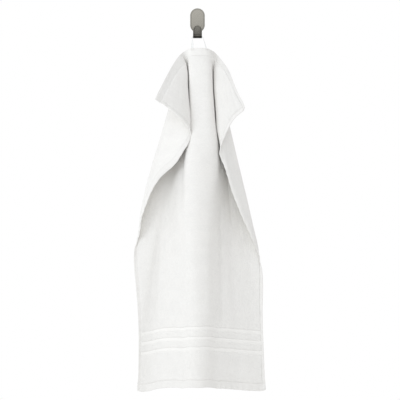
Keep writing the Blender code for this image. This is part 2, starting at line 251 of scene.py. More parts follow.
# Hanging tape's centre line. Sideways, up, away from the wall (mm), turn of its width from
# front-to-back (degrees).
LOOP = (
    (-15.6, -90, 24.4, 78),
    (-15.6, -87.3, 23.6, 74),
    (-15.3, -80, 21.5, 60),
    (-15.2, -70, 17.5, 24),
    (-15.6, -62, 15, 4),
    (-15.9, -57.2, 14, 0),
    (-14.4, -54.3, 14, 0),
    (-11.4, -53.6, 14, 0),
    (0, -53.6, 14, 0),
    (11.4, -53.6, 14, 0),
    (14.6, -54.4, 14, 0),
    (16.4, -57.4, 14.2, 0),
    (18, -62, 15.2, -2),
    (20.6, -70, 18, -8),
    (23.4, -80, 21.2, -18),
    (25.2, -87.1, 23, -24),
    (25.9, -90, 23.8, -28),
)
TROUGH = 0.0110  # inner radius of the hook's J


def size_of(name, description, default, **more):
    """A length that a user may change."""
    more = {"unit": "LENGTH", "precision": 4, **more}
    return FloatProperty(name=name, description=description, default=default, **more)


def colour_of(name, description, default):
    return FloatVectorProperty(
        name=name, description=description, default=default, subtype="COLOR", size=3, min=0, max=1
    )


class ClothSettings(bpy.types.PropertyGroup):
    # the pile's colour is darker by painted shade between its loops
    colour: colour_of(
        "Cotton", "Colour of the flat-woven cotton; the pile is a little deeper", (0.893, 0.878, 0.844)
    )
    pile: size_of("Pile", "From the middle of the cloth to the tips of its loops", 0.0015)
    flat: size_of("Flat weave", "From the middle of the cloth to the face of a hem or rib", 0.0011)
    side_hem: size_of("Side hems", "Width of the turned side edges", 0.012)
    end_hem: size_of("End hems", "Width of the turned top and bottom", 0.0225)
    seam: size_of("Seam", "From a hem's inner edge to its stitching", 0.0014)
    ribs: IntProperty(name="Ribs", description="Flat-woven ribs of the border", default=3, min=0, max=6)
    rib_width: size_of("Rib width", "Width of a flat-woven rib", 0.010)
    rib_pitch: size_of("Rib spacing", "From one rib to the next", 0.030)
    rib_place: size_of("Lowest rib", "From the bottom edge to the lowest rib's middle", 0.114)
    mesh_step: size_of("Mesh step", "Spacing of the mesh away from hems and ribs", 0.0037)
    stitch: size_of("Stitch", "Length of one stitch of the hems", 0.0031)
    thread: size_of("Thread", "Thickness of the sewing thread", 0.00045, precision=5)


class LoopSettings(bpy.types.PropertyGroup):
    colour: colour_of("Tape", "Colour of the cotton tape", (0.86, 0.86, 0.84))
    width: size_of("Width", "Width of the tape", 0.008)
    thick: size_of("Thickness", "Thickness of the tape", 0.001)


class HookSettings(bpy.types.PropertyGroup):
    colour: colour_of("Steel", "Colour of the satin steel", (0.60, 0.576, 0.508))
    roughness: FloatProperty(
        name="Roughness", description="How softly the brushed face reflects", default=0.27, min=0, max=1
    )
    sheet: size_of("Sheet", "Thickness of the steel", 0.003)
    strap: size_of("Strap", "Width of the strap that makes the hook", 0.0262)
    plate: size_of("Plate", "From the top of the plate to the middle of its round lower end", 0.0496)
    fillet: size_of("Fillet", "Rounding where the strap leaves the plate", 0.005)
    tongue: size_of("Tongue", "From the hook's lowest point to the tip of its tongue", 0.0363)
    taper: FloatProperty(
        name="Taper", description="Width of the tongue's end as a share of the strap's", default=0.84,
        min=0.5, max=1,
    )
    lean: FloatProperty(
        name="Lean", description="How far the tongue leans out from the wall",
        subtype="ANGLE", default=math.radians(9),
    )
    edge: size_of("Edge", "Rounding of the steel's edges", 0.0011)


class StageSettings(bpy.types.PropertyGroup):
    floor: size_of("Floor", "Height of the floor", -1.60)
    floor_size: size_of("Floor size", "Width of the round floor", 3.2)
    floor_colour: colour_of("Floor colour", "Colour of the pale floor", (0.80, 0.79, 0.77))
    ambient: FloatProperty(name="Ambient", description="Light from all round", default=0.95, min=0)
    key: FloatProperty(name="Key", description="Power of the main soft light", unit="POWER", default=30)
    distance: size_of("Camera distance", "From the wall to the camera", 12.0)
    field: size_of("Field", "Width of what the camera sees at the wall", 1.181)
    look_side: size_of("Look sideways", "Sideways place of the view's middle", 0.0074)
    look_up: size_of("Look up", "Height of the view's middle", -0.5355)


# Folds


def through(rows, at):
    """Smooth curve through rows whose first column is the place, read at `at`."""
    rows = np.array(rows, float)
    x, y = rows[:, 0], rows[:, 1:]
    h = np.diff(x)
    slope = np.diff(y, axis=0) / h[:, None]
    tangent = np.concatenate([slope[:1], slope])
    weight = (h[1:] / (h[1:] + h[:-1]))[:, None]
    tangent[1:-1] = slope[:-1] * weight + slope[1:] * (1 - weight)
    k = np.clip(np.searchsorted(x, at, side="right") - 1, 0, len(h) - 1)
    t, span = ((at - x[k]) / h[k])[..., None], h[k][..., None]
    start = (1 + 2 * t) * (1 - t) ** 2 * y[k] + t * (1 - t) ** 2 * span * tangent[k]
    end = t * t * (3 - 2 * t) * y[k + 1] + t * t * (t - 1) * span * tangent[k + 1]
    return start + end


def ease(low, high, x):
    t = np.clip((x - low) / (high - low), 0, 1)
    return t * t * (3 - 2 * t)


def unit(vectors):
    return vectors / np.linalg.norm(vectors, axis=-1, keepdims=True)


def heading(side, forward):
    """Unit direction that far from straight down, to the right and away from the wall (degrees)."""
    side, forward = np.radians(side), np.radians(forward)
    return np.stack(
        [np.sin(side) * np.cos(forward), -np.sin(forward), -np.cos(side) * np.cos(forward)], -1
    )


def hem_at(u):
    side, up, away = np.moveaxis(through(HEM, u / MM) * MM, -1, 0)
    return np.stack([side, -away, up], -1)


def box_section(share):
    """(share of the width, share of the bulge) that far along the column's boxy section."""
    angle = np.linspace(-math.pi / 2, math.pi / 2, BOX_STEPS)
    side = np.sign(angle) * np.abs(np.sin(angle)) ** BOX
    rise = np.abs(np.cos(angle)) ** BOX
    run = np.hypot(np.diff(side) * BOX_SIZE[0], np.diff(rise) * BOX_SIZE[1])
    run = np.concatenate([[0], np.cumsum(run)])
    at = share * run[-1]
    return np.interp(at, run, 0.5 + 0.5 * side), np.interp(at, run, rise)


def bell(x, middle, half_width):
    return np.exp(-(((x - middle) / half_width) ** 2))


def column(u, v):
    """Points of the middle column."""
    place = through(MIDDLE, u / MM)
    lean_left, lean_right, bulge, boxy, _, _ = np.moveaxis(through(FLUTE, v / MM), -1, 0)
    share = (u - LEFT_APEX) / (RIGHT_APEX - LEFT_APEX)
    box_side, box_rise = box_section(share)
    side = share + boxy * (box_side - share)
    # the round section runs out smoothly where it isn't boxy
    rise = np.abs(np.cos(math.pi * (share - 0.5))) ** (2 - boxy)
    rise += boxy * (box_rise - rise)
    wider = (lean_right - lean_left) * MM
    points = hem_at(u) + v[:, None] * heading(place[:, 0], place[:, 1])
    points[:, 0] += lean_left * MM + wider * share + (COLUMN_WIDTH + wider) * (side - share)
    points[:, 1] -= bulge * MM * rise
    return points


def fan(u, v, sign, apex, folds):
    """Points of one side, on rays from its apex."""
    out = np.abs(u - apex)
    reach, turn = np.hypot(out, v), np.degrees(np.arctan2(out, v))
    side, forward, length = np.moveaxis(through(folds, turn), -1, 0)
    for bent, by, near, far, ray, spread in BENDS:
        if bent == sign:
            side += by * ease(near, far, reach / MM) * bell(turn, ray, spread)
    first, last = folds[0], folds[-1]
    gathered = (
        (0, first[1], first[2]),
        (30, first[1] + GATHER_OUT, GATHER_FORWARD),
        (60, last[1] * GATHER_SHARE, last[2] * GATHER_SHARE),
        (90, last[1], last[2]),
    )
    plain = through(gathered, turn)
    plain = heading(sign * plain[:, 0], plain[:, 1])
    grown = ease(*FOLD_START, reach)[:, None]
    direction = unit(plain + (heading(sign * side, forward) - plain) * grown)
    start = hem_at(np.array([apex]))
    points = start + (reach * length)[:, None] * direction
    straight = start + (out * last[3])[:, None] * heading(sign * last[1], last[2])
    points += (hem_at(u) - straight) * bell(v, 0, HEM_BLEND)[:, None]
    lean_left, lean_right, _, _, back, _ = np.moveaxis(through(FLUTE, v / MM) * MM, -1, 0)
    lean = lean_left if sign < 0 else lean_right
    points[:, 0] += lean * (1 - ease(0, LEAN_SPAN, out)) * (1 - ease(*LEAN_RAYS, turn))
    draw, place, ray, spread = NECK[sign]
    near = reach / MM / place
    points[:, 0] -= sign * draw * MM * near**2 * np.exp(1 - near**2) * bell(turn, ray, spread)
    points[:, 1] += back * bell(out / MM, *BACK_PLACE) * (1 - ease(*BACK_RAYS, turn))
    return points


def rounded(points, axis):
    """The grid with its folds rounded along one axis, its edges carried straight on."""
    width = SOFTEN / GRAIN
    n = math.ceil(3 * width)
    weight = np.exp(-0.5 * (np.arange(-n, n + 1) / width) ** 2)
    weight /= weight.sum()
    p = np.moveaxis(points, axis, 0)
    p = np.concatenate([2 * p[0] - p[n:0:-1], p, 2 * p[-1] - p[-2 : -n - 2 : -1]])
    count = len(p) - 2 * n
    return np.moveaxis(sum(w * p[i : i + count] for i, w in enumerate(weight)), 0, axis)


def facing(grid):
    """Unit normals of a grid, towards the viewer."""
    return unit(np.cross(np.gradient(grid, axis=0), np.gradient(grid, axis=1)))


def unevenness(u, v):
    """How far the cloth's creases, slow swells and hem puckers stand forward of its folds."""
    height = np.zeros(u.shape)
    for start_u, start_v, end_u, end_v, rise, half in np.array(CREASES) * MM:
        run_u, run_v = end_u - start_u, end_v - start_v
        along = ((u - start_u) * run_u + (v - start_v) * run_v) / (run_u**2 + run_v**2)
        along = np.clip(along, 0, 1)
        away = np.hypot(u - start_u - along * run_u, v - start_v - along * run_v)
        height += rise * bell(away, 0, half)
    # the swells run along the folds' rays, large and small ones together
    out = np.maximum(np.abs(u) - RIGHT_APEX, 0)
    turn = np.degrees(np.arctan2(out, v + 1e-6))
    ray = np.sign(u) * (np.minimum(np.abs(u) / RIGHT_APEX, 1) + turn / SWELL_TURN)
    reach = np.hypot(out, v)
    swell = [
        noise.noise(Vector((a, r, 0.3))) + 0.4 * noise.noise(Vector((2.3 * a, 2.1 * r, 5.7)))
        for a, r in zip(ray.ravel(), (reach / SWELL_LENGTH).ravel())
    ]
    height += SWELL * np.reshape(swell, u.shape) * ease(*SWELL_GROWTH, reach)
    side, end = WIDTH / 2 - np.abs(u), np.minimum(v, LENGTH - v)
    height += through(CURL, v / MM)[..., 0] * MM * np.clip(1 - side / CURL_WIDTH, 0, 1) ** 2
    for edge, place, seed in ((side, v, 2.0), (end, u, 9.0)):
        drift = [noise.noise(Vector((s / PUCKER_DRIFT[1], seed, 0.0))) for s in place.ravel()]
        phase = math.tau * place / PUCKER_PITCH + PUCKER_DRIFT[0] * np.reshape(drift, u.shape)
        height += PUCKER * np.sin(phase) * bell(edge, 0, PUCKER_REACH)
    return height


def cloth_grid():
    """The cloth's middle surface, rows down the cloth and columns from left to right."""
    u = np.linspace(-WIDTH / 2, WIDTH / 2, round(WIDTH / GRAIN) + 1)
    v = np.linspace(0, LENGTH, round(LENGTH / GRAIN) + 1)
    u, v = np.meshgrid(u, v)
    points = np.empty(u.shape + (3,))
    left, right = u < LEFT_APEX, u > RIGHT_APEX
    middle = ~(left | right)
    points[middle] = column(u[middle], v[middle])
    points[left] = fan(u[left], v[left], -1, LEFT_APEX, LEFT_FOLDS)
    points[right] = fan(u[right], v[right], 1, RIGHT_APEX, RIGHT_FOLDS)
    points[..., 2] += through(BOTTOM_RISE, u / MM)[..., 0] * MM * (v / LENGTH) ** 2
    turn = np.degrees(np.arctan2(np.maximum(np.abs(u) - RIGHT_APEX, 0), v + GRAIN))
    swell = bell(u / MM, *PANEL_SWELL) * (1 - ease(*SWELL_RAYS, turn))
    points[..., 1] -= through(FLUTE, v / MM)[..., 5] * MM * swell
    # the top corners' tips are soft
    tip = np.clip(1 - (WIDTH / 2 - np.abs(u)) / TIP, 0, 1) * np.clip(1 - v / TIP, 0, 1)
    for sign, edge in ((-1, 0), (1, -1)):
        towards = points[TIP_STEPS, edge - sign * TIP_STEPS] - points[0, edge]
        points += np.where(u * sign > 0, TIP_PULL[sign] * tip**2, 0)[..., None] * towards
    # the bottom hem stands out a little at its ends
    points[..., 0] += np.sign(u) * FLARE * ease(*FLARE_ACROSS, np.abs(u)) * ease(*FLARE_DOWN, v)
    points = rounded(rounded(points, 1), 0)
    return points + facing(points) * unevenness(u, v)[..., None]


def blending(places, count):
    """Rows of weights that read an evenly spaced, one step widened grid at places along it."""
    k = np.clip(np.floor(places / GRAIN).astype(int), 0, count - 2)
    t = places / GRAIN - k
    parts = (
        (-t + 2 * t**2 - t**3) / 2,
        (2 - 5 * t**2 + 3 * t**3) / 2,
        (t + 4 * t**2 - 3 * t**3) / 2,
        (-(t**2) + t**3) / 2,
    )
    table = np.zeros((len(places), count + 2))
    for step, part in enumerate(parts):
        table[np.arange(len(places)), k + step] += part
    return table


def read_grid(grid, down, across):
    """The grid's values at each distance down, and for each of them at each distance across."""
    for axis, places in ((0, down), (1, across + WIDTH / 2)):
        g = np.moveaxis(grid, axis, 0)
        wide = np.concatenate([2 * g[:1] - g[1:2], g, 2 * g[-1:] - g[-2:-1]])
        grid = np.moveaxis(np.tensordot(blending(places, len(g)), wide, (1, 0)), 0, axis)
    return grid


# Cloth

# Tones of the flat weaves beside that of the pile. The top hem is paler in its middle, painted light where
# it
# faces forward: by how much, and between which distances from its middle that ends.
HEM_TONE = 0.93
# the top hem is darker than the other hems: its flat weave's tone, and painted shade where it rolls back
TOP_HEM_TONE_AND_SHADE = 0.89
TOP_MIDDLE_LIGHT, TOP_MIDDLE_LIGHT_ENDS = 0.07, (0.025, 0.055)
# ribs are paler than the hems: their flat weave's tone, and partly painted sheen of their satin weave
RIB_TONE_AND_SHEEN, RIB_TONE_END = 0.985, 1.2  # as far from a rib's middle as this, in half rib widths
PILE_EDGE = 0.0015  # over this length the pile rises to full height beside a flat weave
RIB_ENDS = (1.05, 1.25)  # beside a rib it rises between these distances from its middle
RIB_CROWN, RIB_CROWN_END = 0.00065, 0.003  # rounding of a rib, and how it runs out beside a side hem
# A line of stitches draws a groove: greatest depth and half width, and its share of that depth along
# the side hems, the top hem and the bottom hem
GROOVE, GROOVE_WIDTH = 0.00055, 0.0008
SIDE_GROOVE, TOP_GROOVE, BOTTOM_GROOVE = 0.5, 0.35, 1
# Each rib has one along its edges: share of the depth, then place and half width in half rib widths
RIB_GROOVE = (0.7, 1.06, 0.12)
BEAD, BEAD_PLACE, BEAD_WIDTH = 0.0005, 0.002, 0.0018  # thicker roll inside each side hem
EDGE_ROUND = 0.0015


def rib_middles(cloth):
    return [LENGTH - cloth.rib_place - cloth.rib_pitch * i for i in range(cloth.ribs)]


def weave(cloth, u, v):
    """At places in the flat cloth: height of its face over its middle, share of pile, and tone, a share
    of the cloth's colour, with painted shade and light on the top hem."""
    side, end = WIDTH / 2 - np.abs(u), np.minimum(v, LENGTH - v)
    pile = ease(0, PILE_EDGE, side - cloth.side_hem) * ease(0, PILE_EDGE, end - cloth.end_hem)
    seams = (
        (side, cloth.side_hem, SIDE_GROOVE),
        (v, cloth.end_hem, TOP_GROOVE),
        (LENGTH - v, cloth.end_hem, BOTTOM_GROOVE),
    )
    grooves = [depth * bell(edge, hem - cloth.seam, GROOVE_WIDTH) for edge, hem, depth in seams]
    crown = np.zeros(u.shape)
    tone = np.full(u.shape, HEM_TONE)
    top = v < cloth.end_hem
    # painted shade on the top hem, and painted light in its middle
    tone[top] = TOP_HEM_TONE_AND_SHADE + TOP_MIDDLE_LIGHT * (1 - ease(*TOP_MIDDLE_LIGHT_ENDS, np.abs(u[top])))
    for middle in rib_middles(cloth):
        away = np.abs(v - middle) / (cloth.rib_width / 2)
        pile *= ease(*RIB_ENDS, away)
        crown += RIB_CROWN * np.clip(1 - away**2, 0, 1)
        tone[(away < RIB_TONE_END) & (side > cloth.side_hem)] = RIB_TONE_AND_SHEEN
        grooves.append(RIB_GROOVE[0] * bell(away, *RIB_GROOVE[1:]))
    crown *= ease(0, RIB_CROWN_END, side - cloth.side_hem)
    height = cloth.flat + (cloth.pile - cloth.flat) * pile + crown
    height += BEAD * bell(side, BEAD_PLACE, BEAD_WIDTH) - GROOVE * np.max(grooves, axis=0)
    # both faces meet in a rounded edge
    inward = np.clip(np.minimum(side, end) / EDGE_ROUND, 0, 1)
    return height * np.sqrt(1 - (1 - inward) ** 2), pile, tone + (1 - tone) * pile


def mesh_lines(marks, length, step):
    """Places from one edge to the other: the marks, and even steps between those that lie further apart."""
    marks = sorted({round(m, 6) for m in marks if 0 <= m <= length})
    found = [0.0]
    for mark in marks:
        gap = mark - found[-1]
        if gap > LEAST_GAP:
            parts = math.ceil(gap / step)
            found += [found[-1] + gap * (i + 1) / parts for i in range(parts)]
    found[-1] = length
    return np.array(found)


def edge_marks(cloth, hem):
    seam = hem - cloth.seam
    return [x * MM for x in EDGE_LINES] + [seam + x * MM for x in SEAM_LINES]


def smooth_object(name, mesh):
    mesh.shade_smooth()
    piece = bpy.data.objects.new(name, mesh)
    bpy.context.scene.collection.objects.link(piece)
    return piece


def sheet_object(name, middle, normal, half, maps, values=()):
    """A closed sheet on a grid of points. Its faces stand half its thickness from it, none at the edges,
    where they meet. maps are the places of the front and the back in the flat cloth, and values are
    named numbers for the material."""
    rows, columns = middle.shape[:2]
    inner = np.zeros((rows, columns), bool)
    inner[1:-1, 1:-1] = True
    fore = np.arange(rows * columns).reshape(rows, columns)
    rear = fore.copy()
    rear[inner] = rows * columns + np.arange(inner.sum())
    off = normal * half[..., None]
    points = np.concatenate([(middle + off).reshape(-1, 3), (middle - off)[inner]])

    def quads(at):
        return np.stack([at[:-1, :-1], at[1:, :-1], at[1:, 1:], at[:-1, 1:]], -1).reshape(-1, 4)

    faces = np.concatenate([quads(fore), quads(rear)[:, ::-1]])
    mesh = bpy.data.meshes.new(name)
    mesh.from_pydata(points.tolist(), [], faces.tolist())
    front, back = (places.reshape(-1, 2) for places in maps)
    corners = [front[quads(fore)], back[quads(fore)[:, ::-1]]]
    layer = mesh.uv_layers.new(name="cloth")
    layer.uv.foreach_set("vector", np.concatenate(corners).astype(np.float32).ravel())
    for title, value in dict(values).items():
        value = np.concatenate([value.ravel(), value[inner]]).astype(np.float32)
        mesh.attributes.new(title, "FLOAT", "POINT").data.foreach_set("value", value)
    return smooth_object(name, mesh)


def settle(piece, material, slot, *nodes):
    """Gives a finished piece its material and its body, and hides the nodes that it stands for; slot is not
    used.
    """
    piece.data.materials.append(material)
    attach(piece, "root")
    if nodes:
        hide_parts(*nodes)


class OBJECT_OT_hang_towel(bpy.types.Operator):
    """The terry cloth on its folds, with its ribs and hems"""

    bl_idname = "object.hang_towel"
    bl_label = "Hang the towel"

    def execute(self, context):
        cloth = context.scene.towel_cloth
        sides, ends = edge_marks(cloth, cloth.side_hem), edge_marks(cloth, cloth.end_hem)
        ribs = [m + x * MM for m in rib_middles(cloth) for x in RIB_LINES]
        across = mesh_lines(sides + [WIDTH - x for x in sides], WIDTH, cloth.mesh_step) - WIDTH / 2
        down = mesh_lines(ends + [LENGTH - x for x in ends] + ribs, LENGTH, cloth.mesh_step)
        grid = cloth_grid()
        middle, normal = read_grid(grid, down, across), unit(read_grid(facing(grid), down, across))
        u, v = np.meshgrid(across, down)
        height, pile, tone = weave(cloth, u, v)
        fore = np.stack([u + WIDTH / 2, LENGTH - v], -1)
        rear = fore + (WIDTH + BACK_APART, 0)
        values = {"pile": pile, "tone": tone}
        towel = sheet_object("terry_cloth", middle, normal, height, (fore, rear), values)
        settle(towel, terry_material(cloth), "terry", "towel")
        return {"FINISHED"}


# Sewing thread

# One stitch from end to end: place along it and thickness, as shares of its half length and the thread
STITCH = ((-1, 0), (-0.72, 0.85), (0, 1), (0.72, 0.85), (1, 0))
STITCH_SIDES = 6
STITCH_LENGTH = 0.84  # of the way to the next stitch
STITCH_ARCH = 0.9  # its ends dip so many thread widths into the cloth
STITCH_PROUD = 0.35  # and its middle stands so many above it
SEAM_END = 0.0015  # a seam stops so far from the cloth's edge


def stitches_object(name, centres, runs, ups, length, thread):
    """One small arched bead of thread at each centre, along its run and standing up from the cloth."""
    runs, ups = unit(runs), unit(ups)
    across = np.cross(ups, runs)
    points = []
    for along, thick in STITCH:
        spine = centres + runs * along * length / 2 - ups * thread * STITCH_ARCH * along**2
        turns = STITCH_SIDES if thick else 1
        for angle in np.arange(turns) * math.tau / turns:
            out = across * math.cos(angle) + ups * math.sin(angle)
            points.append(spine + out * thick * thread / 2)
    points = np.stack(points, 1)
    ring = np.arange(STITCH_SIDES)
    after = (ring + 1) % STITCH_SIDES
    rings = [1 + STITCH_SIDES * i for i in range(len(STITCH) - 2)]
    last = points.shape[1] - 1
    caps = [np.stack([0 * ring, rings[0] + after, rings[0] + ring], -1)]
    caps += [np.stack([0 * ring + last, rings[-1] + ring, rings[-1] + after], -1)]
    for one, two in zip(rings, rings[1:]):
        caps += [
            np.stack([one + ring, one + after, two + ring], -1),
            np.stack([one + after, two + after, two + ring], -1),
        ]
    one_stitch = np.concatenate(caps)
    starts = np.arange(len(centres))[:, None, None] * points.shape[1]
    mesh = bpy.data.meshes.new(name)
    mesh.from_pydata(points.reshape(-1, 3).tolist(), [], (one_stitch + starts).reshape(-1, 3).tolist())
    return smooth_object(name, mesh)


def seam_lines(cloth, lines):
    """Places, runs and ups of the stitches of lines, each given as places down and across the cloth, on
    both of its faces."""
    grid = cloth_grid()
    normals = facing(grid)
    found = []
    for down, across in lines:
        middle = read_grid(grid, down, across).reshape(-1, 3)
        normal = unit(read_grid(normals, down, across).reshape(-1, 3))
        height = weave(cloth, *np.meshgrid(across, down))[0].reshape(-1, 1)
        run = unit(np.gradient(middle, axis=0))
        for up in (normal, -normal):
            found.append((middle + up * (height + cloth.thread * STITCH_PROUD), run, up))
    return [np.concatenate(part) for part in zip(*found)]


class OBJECT_OT_stitch_hems(bpy.types.Operator):
    """A line of stitches along each hem, on both faces of the cloth"""

    bl_idname = "object.stitch_hems"
    bl_label = "Stitch the hems"

    def execute(self, context):
        cloth = context.scene.towel_cloth
        side, end = WIDTH / 2 - cloth.side_hem + cloth.seam, cloth.end_hem - cloth.seam
        long = np.arange(SEAM_END, LENGTH - SEAM_END, cloth.stitch)
        wide = np.arange(-WIDTH / 2 + SEAM_END, WIDTH / 2 - SEAM_END, cloth.stitch)
        lines = [(long, np.array([u])) for u in (-side, side)]
        lines += [(np.array([v]), wide) for v in (end, LENGTH - end)]
        length = cloth.stitch * STITCH_LENGTH
        seams = stitches_object("hem_stitching", *seam_lines(cloth, lines), length, cloth.thread)
        settle(seams, thread_material(cloth), "terry")
        return {"FINISHED"}


# Tacks that hold the ends of the tape: place along the hem and down from its edge (mm)
TACKS = ((-15.6, 4.6), (25.6, 4.6))
# Each is rows of stitches, every other row shifted along. Lengths in mm; the slant is a share of a
# stitch's length.
TACK_ROWS, TACK_ROW_PITCH = 4, 1.5
TACK_STITCHES, TACK_PITCH, TACK_SHIFT = 9, 0.95, 0.4
TACK_STITCH, TACK_SLANT = 1.9, 0.25


class OBJECT_OT_tack_loop(bpy.types.Operator):
    """Close rows of stitches that hold the ends of the tape in the top hem"""

    bl_idname = "object.tack_loop"
    bl_label = "Tack the loop"

    def execute(self, context):
        cloth = context.scene.towel_cloth
        lines = []
        for place, depth in TACKS:
            for row in range(TACK_ROWS):
                down = depth + (row - (TACK_ROWS - 1) / 2) * TACK_ROW_PITCH
                span = (np.arange(TACK_STITCHES) - (TACK_STITCHES - 1) / 2) * TACK_PITCH
                across = place + span + row % 2 * TACK_SHIFT
                lines.append((np.array([down]) * MM, across * MM))
        centres, runs, ups = seam_lines(cloth, lines)
        slant = np.cross(ups, runs) + TACK_SLANT * runs
        tacks = stitches_object("loop_tacks", centres, slant, ups, TACK_STITCH * MM, cloth.thread)
        settle(tacks, thread_material(cloth), "terry")
        return {"FINISHED"}


# Hanging tape

TAPE_STATIONS, TAPE_STRIPS = 241, 19  # mesh lines along it and across it
CUP_FADES = (0.0080, 0.0125)  # in the trough it is cupped as the steel is, fading this far from the middle
CUP_LOW = -0.056  # and only above this
# Its edges are rounded over this share of its half width. A cord in them makes them thicker: how much
# thinner the rest is, and the cord's half width, both as shares.
TAPE_ROUND, TAPE_THINNER, TAPE_CORD = 0.16, 0.18, 0.1


class OBJECT_OT_hang_tape(bpy.types.Operator):
    """The woven tape from the top hem over the hook and back"""

    bl_idname = "object.hang_tape"
    bl_label = "Hang the tape"

    def execute(self, context):
        tape = context.scene.towel_loop
        rows = np.array(LOOP, float)
        steps = np.linalg.norm(np.diff(rows[:, :3], axis=0), axis=1)
        along = np.concatenate([[0], np.cumsum(steps)])
        place = np.linspace(0, along[-1], TAPE_STATIONS)
        side, up, away, turn = np.moveaxis(through(np.column_stack([along, rows]), place), -1, 0)
        centre = np.stack([side, -away, up], -1) * MM
        run = unit(np.gradient(centre, axis=0))
        flat = unit(np.cross(run, (0.0, -1.0, 0.0)))
        depth = np.cross(flat, run)
        turn = np.radians(turn)[:, None]
        width = depth * np.cos(turn) + flat * np.sin(turn)
        normal = np.cross(run, width)
        share = np.sin(np.linspace(-math.pi / 2, math.pi / 2, TAPE_STRIPS))
        t = share[None, :, None] * tape.width / 2
        cup = (1 - ease(*CUP_FADES, np.abs(centre[:, 0]))) * (centre[:, 2] > CUP_LOW)
        rise = np.where(normal[:, 2:] > 0, 1.0, -1.0) * cup[:, None] / (2 * (TROUGH + tape.thick))
        middle = centre[:, None] + t * width[:, None] + (t * t) * (rise * normal)[:, None]
        edge = 1 - np.abs(share)
        half = tape.thick / 2 * np.sqrt(1 - (1 - np.clip(edge / TAPE_ROUND, 0, 1)) ** 2)
        half *= 1 - TAPE_THINNER * (1 - bell(edge, TAPE_ROUND, TAPE_CORD))
        half = np.repeat(half[None], len(place), 0)
        half[[0, -1]] = 0
        maps = np.stack(np.meshgrid(share * tape.width / 2 + tape.width, place * MM), -1)
        maps = (maps, maps + (2 * tape.width, 0))
        loop = sheet_object("tape_loop", middle, facing(middle), half, maps)
        settle(loop, tape_material(tape), "tape", "hanging_loop")
        return {"FINISHED"}


# Wall hook

ROUND_SIDES = 98  # of the plate's outline
FILLET_STEPS, BEND_STEPS, TONGUE_STEPS, EDGE_STEPS = 6, 30, 16, 4
BEVELLED, SMOOTHED = math.radians(50), math.radians(28)  # edges sharper and less sharp than this
TIP_SHARE = 0.999  # of the tongue's half width is rounded, which leaves its end an edge
TINY = 0.00005


def pick(mesh, kind, test):
    """Selects only the vertices, edges or faces that pass the test."""
    edit = bmesh.from_edit_mesh(mesh)
    for part in (*edit.verts, *edit.edges, *edit.faces):
        part.select_set(False)
    bpy.context.tool_settings.mesh_select_mode = [kind == k for k in ("verts", "edges", "faces")]
    edit.select_mode = {kind[:4].upper()}
    found = [p for p in getattr(edit, kind) if test(p)]
    for part in found:
        part.select_set(True)
    bmesh.update_edit_mesh(mesh)
    if not found:
        raise RuntimeError("nothing to select")


def middle_of(edge):
    return (edge.verts[0].co + edge.verts[1].co) / 2


def level_at(height):
    """A test for edges that lie level at this height."""
    return lambda edge: all(abs(v.co.z - height) < TINY for v in edge.verts)


def faces_outwards():
    """Ends edit mode with every face pointing outwards."""
    bpy.ops.mesh.select_all(action="SELECT")
    bpy.ops.mesh.normals_make_consistent(inside=False)
    bpy.ops.object.mode_set(mode="OBJECT")


